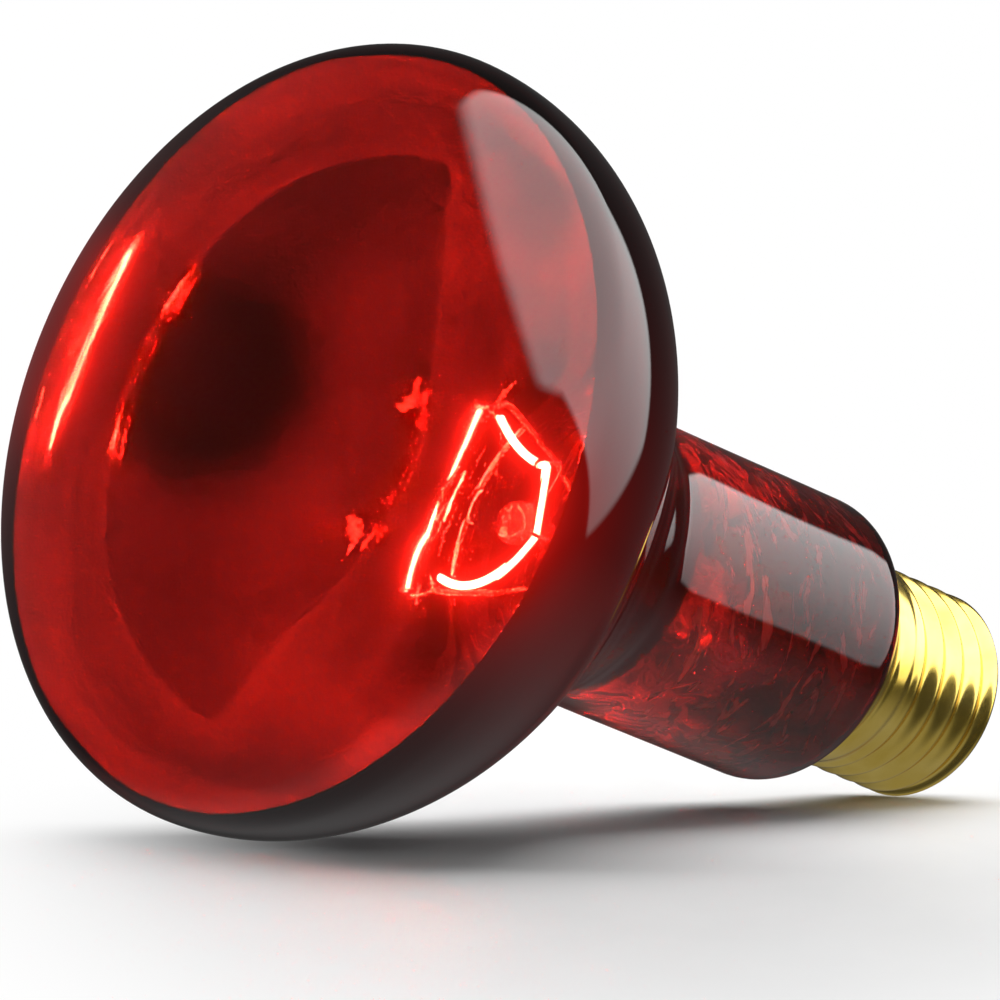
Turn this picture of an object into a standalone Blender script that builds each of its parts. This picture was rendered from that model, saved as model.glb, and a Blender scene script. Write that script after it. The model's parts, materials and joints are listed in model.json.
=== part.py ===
"""Infrared reflector lamp: a ruby glass bulb with an aluminised bowl and an E27 screw cap.

Every piece is drawn about the lamp's own axis: its local +Z runs from the cap to the front of the
glass, and z = 0 is the plane where the glass meets the cap. One empty then lays the lamp on a flat
surface: +Z up, the axis in the XZ plane, the front towards +X, resting on the widest ring of the bowl
and on the last thread crest of the cap. The origin is below the middle of the lamp, on that surface.
"""
import math

import bmesh
import bpy
import numpy as np
from mathutils import Matrix, Vector

MM = 0.001
NAME = "infrared_reflector_lamp"

# Between pieces that touch in the real lamp
GAP = 0.3

# Glass bulb, outside, mm
BOWL_R = 47.5            # widest radius
BOWL_Z = 87.2            # plane of the widest ring
RIM_R = 8.0              # rounding between the front face and the bowl's side
FRONT_R = 74.0           # radius of the domed front face
BACK_LEN, BACK_DEPTH = 31.2, 42.0     # half axes of the ellipse behind the widest ring
BACK_END_DEG = 125.7     # where that ellipse hands over to the throat
THROAT_Z = 41.0          # where the throat has become the straight neck
THROAT_PULL = 0.62       # how far the throat's curve reaches along its two end tangents
NECK_R = 18.1
NECK_END_Z = -0.6        # flat ring of glass that faces the cap
SHOULDER_R = 4.6         # rounding from the neck to that ring
SEAL_R = 10.3            # narrowed end of the neck inside the cap
SEAL_Z = -9.0
NARROWING = ((-0.9, 11.6), (-2.4, SEAL_R))      # (z, r) on the way from that ring to the end
GLASS_T = 0.9

# Aluminium reflecting layer inside the bowl, drawn as a thin shell
COAT_T = 0.2
COAT_FRONT_Z = 90.3      # on the rounded rim, just in front of the widest ring
COAT_BACK_Z = 37.0

# Glass mount inside the neck
STEM_R, STEM_T = 5.5, 1.1
STEM_TOP_Z = 26.0
STEM_ROOF = 3.0          # solid glass closing the stem tube
STEM_EDGE = 0.6          # rounding of its top
FLARE_Z = -9.3           # rim of the flare, just under the end of the neck
FLARE_R, FLARE_RIM_T = 10.2, 1.0
FLARE_LIP_R = 8.6        # where the flare bends out into its flat rim
FLARE_BORE_R = 8.3
FLARE_CURVE = ((2.0, 0.0), (-2.5, 0.6), (-6.0, 1.6))      # (z, growth of the tube's radius)
PRESS_W, PRESS_T = 11.0, 4.6
PRESS_Z = (24.5, 33.0)
PRESS_EDGE = 0.9
EXHAUST_R, EXHAUST_T = 2.0, 0.7
EXHAUST_Z = (-15.0, 22.6)
EXHAUST_TIP_T = 2.0      # glass melted together at its lower tip
ARBOR_R = 1.5
ARBOR_FOOT_Z = 33.3
BUTTON_R = 2.7
BUTTON_HALF_H = 2.16
BUTTON_Z = 52.0
BUTTON_FOOT_DEG = 145.0  # where the button goes over into the rod

# Wires
LEAD_X = 3.2             # the two leads leave the press this far from the axis
LEAD_BEND = (4.6, 39.0)  # and bend out to the filament's ends here: (out, z)
LEAD_POST, SUPPORT_POST = 3.0, 2.6      # upright ends below the filament
SEAL_HOLE_R = 0.72
INNER_LEAD_R = 0.4
DUMET_R = 0.35
OUTER_LEAD_R = 0.22
SUPPORT_R = 0.25
SIDE_LEAD_BENDS = ((7.4, -12.2), (11.05, -11.4), (11.05, -3.4), (12.3, -1.05))      # (out, z)
SIDE_LEAD_DROP_Z = -8.0
CENTRE_LEAD_BENDS_Z = (-16.0, -20.0)

# Filament: corners seen from the front, local x and y, with the sag of each hot run
FILAMENT_Z = 57.0
FILAMENT_R = 0.5
CORNERS = ((-11.6, -1.5), (-5.7, 7.8), (2.8, 8.9), (8.3, -5.4))
SAGS = (1.1, 0.3, 3.0)
RUN_POINTS = (6, 3, 8)
HOOK = 1.6               # lead and support ends run past the filament

# Screw cap, E27 (right-hand thread)
CAP_T = 0.36
PITCH = 3.629
CREST_R, ROOT_R = 13.1, 12.15
CAP_TOP_Z = -1.5
COLLAR_R = 13.6          # flared rim
COLLAR_EDGE_R, COLLAR_EDGE_Z = 13.52, -2.1
COLLAR_FOOT_R, COLLAR_FOOT_Z = 12.75, -4.3      # groove between collar and thread
BAND_R, BAND_Z = 13.05, -4.8                    # plain band above the thread
THREAD_TOP_Z, THREAD_END_Z = -6.4, -22.7
RUN_IN, RUN_OUT = 3.2, 0.8     # lengths over which the thread rises at its two ends
FIRST_CREST_Z = -9.455   # a crest on the side that faces down
CAP_SHOULDER = ((-23.5, 12.6), (-24.15, 11.7))     # (z, r) where the shell turns in at its end
CAP_END_Z = -24.6
CAP_END_R = 10.2
CEMENT_Z = (-8.8, -2.9)
CEMENT_SLOT = 1.3
INSULATOR_Z = (-27.0, -22.4)
INSULATOR_FLANGE = ((-22.4, 11.0), (-23.3, 10.8))  # (z, r) of its wide part inside the shell
INSULATOR_NECK_R = 9.84
INSULATOR_NECK_Z = (-23.7, -24.9)
INSULATOR_FACE_R = 5.3
WIRE_HOLE_R = 1.1
CONTACT_R, CONTACT_T = 4.8, 0.8
CONTACT_EDGE = 0.3
CONTACT_HOLE_R = 0.75
SOLDER_R, SOLDER_T = 2.2, 0.7
SOLDER_FACE_R = 1.5      # flat part of the centre solder
SIDE_SOLDER = (0.4, 1.2, 0.55)        # half sizes: out from the rim, round it, along the axis
SIDE_SOLDER_Z = -2.15

# Facets round the axis, and rows of points in a turn of the thread
BOWL_STEPS, CAP_STEPS, SMALL_STEPS, ROD_STEPS = 48, 36, 20, 16
ROWS_PER_TURN = 6
OVERCUT = 2.0            # cutters reach this far past what they cut


def fresh_scene():
    for old in list(bpy.data.objects):
        bpy.data.objects.remove(old, do_unlink=True)
    part = bpy.data.collections.new(NAME)
    cutters = bpy.data.collections.new("cutters")
    for collection in (part, cutters):
        bpy.context.scene.collection.children.link(collection)
    cutters.hide_render = True
    return part, cutters


PART, CUTTERS = fresh_scene()
LAMP = bpy.data.objects.new("lamp_axis", None)
PART.objects.link(LAMP)


def material(name, colour, metallic=0.0, roughness=0.3, transmission=0.0, glow=None):
    made = bpy.data.materials.new(name)
    made.use_nodes = True
    shader = made.node_tree.nodes["Principled BSDF"]
    shader.inputs["Base Color"].default_value = (*colour, 1.0)
    shader.inputs["Metallic"].default_value = metallic
    shader.inputs["Roughness"].default_value = roughness
    shader.inputs["Transmission Weight"].default_value = transmission
    if glow:
        shader.inputs["Emission Color"].default_value = (*glow, 1.0)
        shader.inputs["Emission Strength"].default_value = 8.0
    return made


RUBY = material("ruby_glass", (0.33, 0.008, 0.01), roughness=0.03, transmission=0.8)
MIRROR = material("aluminium_mirror", (0.9, 0.88, 0.87), metallic=1.0, roughness=0.05)
CLEAR = material("clear_glass", (0.85, 0.9, 0.88), roughness=0.03, transmission=0.9)
NICKEL = material("nickel_wire", (0.62, 0.6, 0.56), metallic=1.0, roughness=0.3)
COPPER = material("copper_clad_wire", (0.72, 0.38, 0.22), metallic=1.0, roughness=0.3)
MOLYBDENUM = material("molybdenum_wire", (0.5, 0.5, 0.52), metallic=1.0, roughness=0.35)
TUNGSTEN = material("glowing_tungsten", (0.9, 0.5, 0.3), metallic=1.0, roughness=0.5,
                    glow=(1.0, 0.5, 0.2))
BRASS = material("cap_brass", (0.85, 0.66, 0.27), metallic=1.0, roughness=0.2)
BLACK_GLASS = material("black_cap_glass", (0.02, 0.02, 0.025), roughness=0.12)
SOLDER = material("tin_solder", (0.7, 0.7, 0.71), metallic=1.0, roughness=0.35)
CEMENT = material("capping_cement", (0.55, 0.47, 0.36), roughness=0.9)


def place(obj, mat=None, collection=None, at=(0.0, 0.0, 0.0), turn=(0.0, 0.0, 0.0)):
    """Link obj, hang it on the lamp's axis and give it its material."""
    (collection or PART).objects.link(obj)
    obj.parent = LAMP
    obj.location = [v * MM for v in at]
    obj.rotation_euler = turn
    if mat:
        obj.data.materials.append(mat)
    if collection is CUTTERS:
        obj.hide_render = True
        obj.display_type = 'WIRE'
    return obj


def smooth(mesh):
    mesh.polygons.foreach_set("use_smooth", [True] * len(mesh.polygons))


def revolve(name, profile, mat, steps):
    """Turn a wall drawn as (z, r) points: a closed ring, or an outline that starts and ends on the axis.

    The turned shape starts half a facet round, so that the lamp lies on a facet and not on an edge.
    """
    mesh = bpy.data.meshes.new(name)
    points = [(r * MM, 0.0, z * MM) for z, r in profile]
    ring = profile[0][1] > 0.0
    edges = [(i, i + 1) for i in range(len(points) - 1)]
    if ring:
        edges.append((len(points) - 1, 0))
    mesh.from_pydata(points, edges, [])
    obj = place(bpy.data.objects.new(name, mesh), mat, turn=(0.0, 0.0, math.pi / steps))
    screw = obj.modifiers.new("turned", 'SCREW')
    screw.axis = 'Z'
    screw.steps = screw.render_steps = steps
    screw.use_merge_vertices = True
    screw.merge_threshold = 0.00001
    screw.use_smooth_shade = True
    return obj


def wire(name, points, radius, mat):
    """A round wire along straight runs between points in mm, its ends closed."""
    curve = bpy.data.curves.new(name, 'CURVE')
    curve.dimensions = '3D'
    curve.bevel_depth = radius * MM
    curve.bevel_resolution = 2
    curve.use_fill_caps = True
    spline = curve.splines.new('POLY')
    spline.points.add(len(points) - 1)
    for slot, (x, y, z) in zip(spline.points, points):
        slot.co = (x * MM, y * MM, z * MM, 1.0)
    return place(bpy.data.objects.new(name, curve), mat)


def boolean(obj, cutter, operation):
    cut = obj.modifiers.new(operation.lower(), 'BOOLEAN')
    cut.operation = operation
    cut.solver = 'EXACT'
    cut.object = cutter


def cylinder_cutter(name, radius, z_low, z_high, at, steps=16):
    mesh = bpy.data.meshes.new(name)
    bm = bmesh.new()
    bmesh.ops.create_cone(bm, cap_ends=True, segments=steps, radius1=radius * MM,
                          radius2=radius * MM, depth=(z_high - z_low) * MM)
    bm.to_mesh(mesh)
    bm.free()
    return place(bpy.data.objects.new(name, mesh), None, CUTTERS,
                 at=(at[0], at[1], (z_low + z_high) / 2))


def box(name, size, at, mat=None, collection=None, turn=(0.0, 0.0, 0.0), rounding=0.0):
    mesh = bpy.data.meshes.new(name)
    bm = bmesh.new()
    bmesh.ops.create_cube(bm, size=1.0)
    bmesh.ops.scale(bm, vec=[v * MM for v in size], verts=bm.verts)
    bm.to_mesh(mesh)
    bm.free()
    obj = place(bpy.data.objects.new(name, mesh), mat, collection, at, turn)
    if rounding:
        bevel = obj.modifiers.new("rounded", 'BEVEL')
        bevel.width = rounding * MM
        bevel.segments = 2
    return obj


def arc(centre, radii, start_deg, end_deg, count):
    """Points (z, r) on an ellipse; 0 degrees looks to the front, 90 degrees away from the axis."""
    angles = np.radians(np.linspace(start_deg, end_deg, count))
    return [(centre[0] + radii[0] * math.cos(t), centre[1] + radii[1] * math.sin(t)) for t in angles]


def bezier(p0, p1, p2, p3, count):
    t = np.linspace(0.0, 1.0, count)[:, None]
    p0, p1, p2, p3 = (np.array(p) for p in (p0, p1, p2, p3))
    points = ((1 - t) ** 3 * p0 + 3 * (1 - t) ** 2 * t * p1 + 3 * (1 - t) * t ** 2 * p2 + t ** 3 * p3)
    return [tuple(float(v) for v in p) for p in points]


def bulb_outline():
    """The outside of the glass as (z, r), from the middle of the front face to the end of the neck."""
    drop = math.sqrt((FRONT_R - RIM_R) ** 2 - (BOWL_R - RIM_R) ** 2)
    front_centre = BOWL_Z - drop
    hand_over = math.degrees(math.atan2(BOWL_R - RIM_R, drop))
    back_centre = (BOWL_Z, BOWL_R - BACK_DEPTH)
    end = math.radians(BACK_END_DEG)
    leave = (back_centre[0] + BACK_LEN * math.cos(end), back_centre[1] + BACK_DEPTH * math.sin(end))
    slope = (BACK_DEPTH * math.cos(end)) / (-BACK_LEN * math.sin(end))
    meet = leave[0] - (leave[1] - NECK_R) / slope
    shoulder = (NECK_END_Z + SHOULDER_R, NECK_R - SHOULDER_R)
    outline = [(front_centre + FRONT_R, 0.0)]
    outline += arc((front_centre, 0.0), (FRONT_R, FRONT_R), 0.0, hand_over, 7)[1:]
    outline += arc((BOWL_Z, BOWL_R - RIM_R), (RIM_R, RIM_R), hand_over, 90.0, 5)[1:]
    outline += arc(back_centre, (BACK_LEN, BACK_DEPTH), 90.0, BACK_END_DEG, 6)[1:]
    outline += bezier(leave,
                      (leave[0] + THROAT_PULL * (meet - leave[0]),
                       leave[1] + THROAT_PULL * (NECK_R - leave[1])),
                      (THROAT_Z + THROAT_PULL * (meet - THROAT_Z), NECK_R),
                      (THROAT_Z, NECK_R), 9)[1:]
    outline += arc(shoulder, (SHOULDER_R, SHOULDER_R), 90.0, 180.0, 6)
    return outline + list(NARROWING) + [(SEAL_Z, SEAL_R)]


def inset(outline, distance):
    """The same outline moved towards the axis and the inside by distance, ends kept square."""
    points = np.array(outline)
    runs = np.diff(points, axis=0)
    runs /= np.linalg.norm(runs, axis=1)[:, None]
    normals = np.stack([runs[:, 1], -runs[:, 0]], axis=1)
    moved = []
    for i, point in enumerate(points):
        before, after = normals[max(i - 1, 0)], normals[min(i, len(normals) - 1)]
        mean = before + after
        mean /= np.linalg.norm(mean)
        moved.append(point - mean * distance / max(float(mean @ before), 0.5))
    moved = np.array(moved)
    moved[0] = (points[0][0] - distance, 0.0)
    return [tuple(float(v) for v in p) for p in moved]


def stretch(outline, z_low, z_high):
    """The part of an outline between two planes, cut exactly on them."""
    points = np.array(outline)[::-1]
    inside = [tuple(p) for p in points if z_low < p[0] < z_high]
    ends = [(z, float(np.interp(z, points[:, 0], points[:, 1]))) for z in (z_low, z_high)]
    return [ends[1]] + inside[::-1] + [ends[0]]


OUTLINE = bulb_outline()


def glass_bulb():
    inner = inset(OUTLINE, GLASS_T)
    inner[-1] = (SEAL_Z, SEAL_R - GLASS_T)
    profile = OUTLINE + inner[::-1]
    return revolve("glass_envelope", profile, RUBY, BOWL_STEPS)


def reflector():
    whole = inset(OUTLINE[:-4], GLASS_T + GAP)
    outer = stretch(whole, COAT_BACK_Z, COAT_FRONT_Z)
    inner = inset(outer, COAT_T)
    inner[0] = (outer[0][0], outer[0][1] - COAT_T)
    inner[-1] = (outer[-1][0], outer[-1][1] - COAT_T)
    revolve("reflector_coating", outer + inner[::-1], MIRROR, BOWL_STEPS)


def glass_stem():
    """The flared tube sealed to the neck, pinched flat at the top round the two leads."""
    bore_r = STEM_R - STEM_T
    roof = STEM_TOP_Z - STEM_ROOF
    profile = [(STEM_TOP_Z, 0.0), (STEM_TOP_Z, STEM_R - STEM_EDGE), (STEM_TOP_Z - STEM_EDGE, STEM_R)]
    profile += [(z, STEM_R + grow) for z, grow in FLARE_CURVE]
    profile += [(FLARE_Z, FLARE_LIP_R), (FLARE_Z, FLARE_R), (FLARE_Z - FLARE_RIM_T, FLARE_R),
                (FLARE_Z - FLARE_RIM_T, FLARE_BORE_R)]
    profile += [(z, bore_r + grow) for z, grow in reversed(FLARE_CURVE)]
    profile += [(roof, bore_r), (roof, 0.0)]
    stem = revolve("stem_glass", profile, CLEAR, SMALL_STEPS)
    low, high = PRESS_Z
    press = box("press_block", (PRESS_W, PRESS_T, high - low), (0.0, 0.0, (low + high) / 2),
                collection=CUTTERS, rounding=PRESS_EDGE)
    boolean(stem, press, 'UNION')
    for i, x in enumerate((-LEAD_X, LEAD_X)):
        hole = cylinder_cutter(f"press_hole_{i}", SEAL_HOLE_R, roof - OVERCUT, high + OVERCUT, (x, 0.0))
        boolean(stem, hole, 'DIFFERENCE')


def exhaust_tube():
    tip, top = EXHAUST_Z
    bore = EXHAUST_R - EXHAUST_T
    floor = tip + EXHAUST_TIP_T
    # open at the top and melted shut at the tip, round inside and outside
    inside = [(floor, 0.0)] + arc((floor + bore, 0.0), (bore, bore), 180.0, 90.0, 4)[1:]
    outside = arc((tip + EXHAUST_R, 0.0), (EXHAUST_R, EXHAUST_R), 90.0, 180.0, 5)[:-1] + [(tip, 0.0)]
    revolve("exhaust_tube", inside + [(top, bore), (top, EXHAUST_R)] + outside, CLEAR, SMALL_STEPS)


def arbor():
    """Glass rod standing on the press, its end melted into a button that holds the supports."""
    foot = ARBOR_FOOT_Z
    ball = arc((BUTTON_Z, 0.0), (BUTTON_HALF_H, BUTTON_R), 0.0, BUTTON_FOOT_DEG, 8)[1:]
    revolve("arbor_rod",
            [(BUTTON_Z + BUTTON_HALF_H, 0.0)] + ball + [(foot, ARBOR_R), (foot, 0.0)], CLEAR, ROD_STEPS)


def sagged(start, end, sag, count):
    """A hot run between two corners, hanging towards +X."""
    t = np.linspace(0.0, 1.0, count)
    return [(start[0] + (end[0] - start[0]) * k + 4.0 * sag * k * (1.0 - k),
             start[1] + (end[1] - start[1]) * k, FILAMENT_Z) for k in t]


def filament():
    points = []
    for (start, end), sag, count in zip(zip(CORNERS[:-1], CORNERS[1:]), SAGS, RUN_POINTS):
        points += sagged(start, end, sag, count)[(1 if points else 0):]
    wire("filament", points, FILAMENT_R, TUNGSTEN)


def inner_leads_and_supports():
    """Wires that end in a short upright beside the filament's ends and corners."""
    clear = FILAMENT_R + GAP
    bend_x, bend_z = LEAD_BEND
    for side, way, corner in (("upper", -1.0, CORNERS[0]), ("lower", 1.0, CORNERS[-1])):
        out = Vector(corner).normalized() * (clear + INNER_LEAD_R)
        post = (corner[0] + out.x, corner[1] + out.y)
        wire(f"inner_lead_{side}",
             [(way * LEAD_X, 0.0, PRESS_Z[1]), (way * bend_x, 0.0, bend_z),
              (post[0], post[1], FILAMENT_Z - LEAD_POST), (post[0], post[1], FILAMENT_Z + HOOK)],
             INNER_LEAD_R, NICKEL)
    root_r = BUTTON_R + GAP + SUPPORT_R
    for i, corner in enumerate(CORNERS[1:-1]):
        way = Vector(corner).normalized()
        post = way * (Vector(corner).length + clear + SUPPORT_R)
        root = way * root_r
        wire(f"filament_support_{i + 1}",
             [(root.x, root.y, BUTTON_Z), (post.x, post.y, FILAMENT_Z - SUPPORT_POST),
              (post.x, post.y, FILAMENT_Z + HOOK)], SUPPORT_R, MOLYBDENUM)


def sealed_and_outer_leads():
    below = STEM_TOP_Z - STEM_ROOF
    seal_low = below + GAP
    for side, x in (("upper", -LEAD_X), ("lower", LEAD_X)):
        wire(f"seal_wire_{side}", [(x, 0.0, seal_low), (x, 0.0, PRESS_Z[1] - GAP)], DUMET_R, COPPER)
    # the side lead comes up between the neck and the cap and bends out over the cap's rim
    end = (COLLAR_R + GAP, SIDE_LEAD_BENDS[-1][1])
    way = [(LEAD_X, below), (LEAD_X, SIDE_LEAD_DROP_Z), *SIDE_LEAD_BENDS, end]
    wire("side_lead", [(-out, 0.0, z) for out, z in way], OUTER_LEAD_R, COPPER)
    high, low = CENTRE_LEAD_BENDS_Z
    wire("centre_lead",
         [(LEAD_X, 0.0, below), (LEAD_X, 0.0, high), (0.0, 0.0, low),
          (0.0, 0.0, INSULATOR_Z[0] - CONTACT_T)], OUTER_LEAD_R, COPPER)


def thread_wave(z, phi):
    """Radius of the rolled thread: rounded crests and roots that fade in and out at its ends."""
    turn = 2.0 * math.pi * (z - FIRST_CREST_Z) / PITCH - phi
    fade = min((THREAD_TOP_Z - z) / RUN_IN, (z - THREAD_END_Z) / RUN_OUT, 1.0)
    depth = 0.5 - 0.5 * math.cos(turn)
    return CREST_R - (CREST_R - ROOT_R) * depth * max(fade, 0.0)


def cap_rows():
    """(z, radius or None where the thread decides) down the outside of the cap."""
    rows = [(CAP_TOP_Z, COLLAR_R), (COLLAR_EDGE_Z, COLLAR_EDGE_R), (COLLAR_FOOT_Z, COLLAR_FOOT_R),
            (BAND_Z, BAND_R), (THREAD_TOP_Z, CREST_R)]
    count = int(round((THREAD_TOP_Z - THREAD_END_Z) / PITCH * ROWS_PER_TURN))
    rows += [(float(z), None) for z in np.linspace(THREAD_TOP_Z, THREAD_END_Z, count)[1:]]
    return rows + list(CAP_SHOULDER) + [(CAP_END_Z, CAP_END_R)]


def cap_shell():
    """The pressed brass shell: one ring of points a row, outside and inside, joined into a thin wall."""
    angles = [2.0 * math.pi * (k + 0.5) / CAP_STEPS for k in range(CAP_STEPS)]
    bm = bmesh.new()

    def ring(z, radius, depth):
        radii = [(thread_wave(z, phi) if radius is None else radius) - depth for phi in angles]
        return [bm.verts.new((r * math.cos(phi) * MM, r * math.sin(phi) * MM, z * MM))
                for r, phi in zip(radii, angles)]

    rows = cap_rows()
    outer = [ring(z, radius, 0.0) for z, radius in rows]
    inner = [ring(z, radius, CAP_T) for z, radius in rows[:-1]]
    inner.append(ring(rows[-1][0] + CAP_T, rows[-1][1], 0.0))
    loop = outer + inner[::-1]
    for i, row in enumerate(loop):
        after = loop[(i + 1) % len(loop)]
        for k in range(CAP_STEPS):
            m = (k + 1) % CAP_STEPS
            bm.faces.new((row[k], after[k], after[m], row[m]))
    bmesh.ops.recalc_face_normals(bm, faces=bm.faces)
    mesh = bpy.data.meshes.new("cap_shell")
    bm.to_mesh(mesh)
    bm.free()
    smooth(mesh)
    return place(bpy.data.objects.new("cap_shell", mesh), BRASS)


def cap_fittings():
    root = ROOT_R - CAP_T
    low, high = CEMENT_Z
    cement = revolve("capping_cement",
                     [(high, SEAL_R + GAP), (high, root - GAP), (low, root - GAP), (low, SEAL_R + GAP)],
                     CEMENT, CAP_STEPS)
    slot = box("cement_slot", (root - SEAL_R + OVERCUT, CEMENT_SLOT, high - low + OVERCUT),
               (-(SEAL_R + root) / 2, 0.0, (low + high) / 2), collection=CUTTERS)
    boolean(cement, slot, 'DIFFERENCE')
    end, top = INSULATOR_Z
    neck = [(z, INSULATOR_NECK_R) for z in INSULATOR_NECK_Z]
    revolve("cap_insulator",
            [(top, WIRE_HOLE_R), *INSULATOR_FLANGE, *neck, (end, INSULATOR_FACE_R), (end, WIRE_HOLE_R)],
            BLACK_GLASS, CAP_STEPS)
    back = end - GAP
    face = back - CONTACT_T
    revolve("centre_contact",
            [(back, CONTACT_HOLE_R), (back, CONTACT_R), (face + CONTACT_EDGE, CONTACT_R),
             (face, CONTACT_R - CONTACT_EDGE), (face, CONTACT_HOLE_R)], BRASS, SMALL_STEPS)
    under = face - GAP
    edge = arc((under, SOLDER_FACE_R), (-SOLDER_T, SOLDER_R - SOLDER_FACE_R), 90.0, 0.0, 4)
    revolve("centre_solder", [(under, 0.0), *edge, (under - SOLDER_T, 0.0)], SOLDER, SMALL_STEPS)
    blob = bpy.data.meshes.new("side_solder")
    bm = bmesh.new()
    bmesh.ops.create_uvsphere(bm, u_segments=12, v_segments=8, radius=1.0)
    bmesh.ops.scale(bm, vec=[v * MM for v in SIDE_SOLDER], verts=bm.verts)
    bm.to_mesh(blob)
    bm.free()
    smooth(blob)
    place(bpy.data.objects.new("side_solder", blob), SOLDER,
          at=(-(COLLAR_R + GAP + SIDE_SOLDER[0]), 0.0, SIDE_SOLDER_Z))


def points_on_axis_frame(obj):
    """Corner points of an evaluated piece, in the lamp's own frame."""
    graph = bpy.context.evaluated_depsgraph_get()
    seen = obj.evaluated_get(graph)
    mesh = seen.to_mesh()
    frame = LAMP.matrix_world.inverted() @ obj.matrix_world
    found = np.array([frame @ v.co for v in mesh.vertices])
    seen.to_mesh_clear()
    return found


def lay_down(bulb, cap):
    """Tip the axis until bowl and cap both touch the surface, then centre the lamp over the origin."""
    bpy.context.view_layer.update()
    shapes = [points_on_axis_frame(obj) for obj in (bulb, cap)]

    def reach(points, tilt):
        return float((points[:, 0] * math.cos(tilt) - points[:, 2] * math.sin(tilt)).max())

    low, high = 0.0, math.radians(45.0)
    for _ in range(60):
        tilt = (low + high) / 2
        if reach(shapes[0], tilt) > reach(shapes[1], tilt):
            low = tilt
        else:
            high = tilt
    height = max(reach(points, tilt) for points in shapes)
    turned = Matrix.Rotation(math.pi / 2 - tilt, 4, 'Y')
    LAMP.matrix_world = turned
    bpy.context.view_layer.update()
    everything = np.array([turned @ Vector(p) for obj in PART.objects if obj.type in ('MESH', 'CURVE')
                           for p in points_on_axis_frame(obj)])
    middle = (everything.min(0) + everything.max(0)) / 2
    LAMP.matrix_world = Matrix.Translation((-middle[0], -middle[1], height)) @ turned


def main():
    bulb = glass_bulb()
    reflector()
    glass_stem()
    exhaust_tube()
    arbor()
    filament()
    inner_leads_and_supports()
    sealed_and_outer_leads()
    cap = cap_shell()
    cap_fittings()
    lay_down(bulb, cap)


main()
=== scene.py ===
"""Looks of the infrared reflector lamp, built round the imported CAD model.

The lamp's own frame is used for every piece: local +Z runs from the cap to the front of the glass,
z = 0 is the plane where the glass meets the cap, local +X points down and local Y is the row's Y.
Lengths are in millimetres in that frame, and turned into the row's metres when a mesh is made.
"""

import json
import math
import random

import bmesh
import bpy
import numpy as np
from mathutils import Matrix, Vector


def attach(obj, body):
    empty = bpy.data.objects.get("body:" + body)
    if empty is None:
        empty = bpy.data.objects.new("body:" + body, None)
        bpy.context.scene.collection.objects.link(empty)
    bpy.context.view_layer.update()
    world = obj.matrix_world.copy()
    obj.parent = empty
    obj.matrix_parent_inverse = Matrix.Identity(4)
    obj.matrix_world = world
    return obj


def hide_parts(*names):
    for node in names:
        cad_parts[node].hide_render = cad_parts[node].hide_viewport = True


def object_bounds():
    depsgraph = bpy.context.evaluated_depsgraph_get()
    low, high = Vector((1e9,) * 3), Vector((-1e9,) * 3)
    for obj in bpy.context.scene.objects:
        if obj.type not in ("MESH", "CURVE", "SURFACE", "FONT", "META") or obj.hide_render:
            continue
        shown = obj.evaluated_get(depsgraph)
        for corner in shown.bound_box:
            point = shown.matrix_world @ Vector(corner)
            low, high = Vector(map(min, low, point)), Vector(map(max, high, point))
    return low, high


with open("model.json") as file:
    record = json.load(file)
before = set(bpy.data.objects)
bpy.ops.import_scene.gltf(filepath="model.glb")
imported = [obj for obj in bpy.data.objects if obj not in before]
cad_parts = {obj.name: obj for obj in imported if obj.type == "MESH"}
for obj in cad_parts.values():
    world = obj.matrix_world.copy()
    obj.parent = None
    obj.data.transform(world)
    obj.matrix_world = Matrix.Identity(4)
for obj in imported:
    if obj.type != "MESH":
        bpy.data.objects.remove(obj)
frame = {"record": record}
CAD_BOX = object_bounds()

MM = 0.001

# Between pieces that touch in the real lamp
GAP = 0.3

# Glass bulb, outside
BOWL_R, BOWL_Z = 47.5, 87.2             # widest ring
RIM_R = 8.0                             # rounding between the front face and the bowl's side
FRONT_R = 74.0                          # radius of the domed front face
BACK_LEN, BACK_DEPTH = 31.2, 42.0       # half axes of the ellipse behind the widest ring
BACK_END_DEG = 125.7                    # where that ellipse hands over to the throat
THROAT_Z = 41.0                         # where the throat has become the straight neck
THROAT_PULL = 0.62                      # how far its curve reaches along its two end tangents
NECK_R = 18.1
NECK_END_Z = -0.6                       # flat ring of glass that faces the cap
SHOULDER_R = 4.6                        # rounding from the neck to that ring
SEAL_R, SEAL_Z = 10.3, -9.0             # narrowed end of the neck inside the cap
NARROWING = ((-0.9, 11.6), (-2.4, SEAL_R))      # (z, r) on the way from that ring to the end
GLASS_T = 0.9
GLASS_STEPS = 240                       # facets round the axis

# Aluminium layer, drawn as a thin shell
COAT_T = 0.2
COAT_FRONT_Z, COAT_BACK_Z = 90.3, 37.0

# Glass mount inside the neck
STEM_R, STEM_T = 5.5, 1.1
STEM_TOP_Z = 26.0
STEM_ROOF = 3.0                         # solid glass closing the stem tube
STEM_ROOF_DROP, STEM_ROOF_SAG = 6.0, 3.0        # its edge under the press, and how far it hangs lower
FLARE_Z, FLARE_R, FLARE_RIM_T = -9.3, 10.2, 1.0
FLARE_LIP_R, FLARE_BORE_R = 8.6, 8.3    # where the flare bends out into its flat rim
FLARE_EDGE = 0.3
FLARE_TOP_Z, FLARE_POWER = 2.0, 2.6     # where it has become the straight tube, and how fast it narrows
ROUND, SQUARE = 2.0, 4.2                # squareness of the tube and of the press
PRESS_W, PRESS_T = 11.0, 4.6
PRESS_Z = (24.5, 33.0)
PRESS_START, PRESS_EASE = 8.0, 9.0      # the tube starts to flatten this far below it, over this length
PRESS_EDGE = ((0.8, 0.0, SQUARE), (0.2, 0.3, 3.8), (0.0, 0.9, 3.4))    # (down, in, squareness) at its top
EXHAUST_R, EXHAUST_T = 2.0, 0.7
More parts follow.
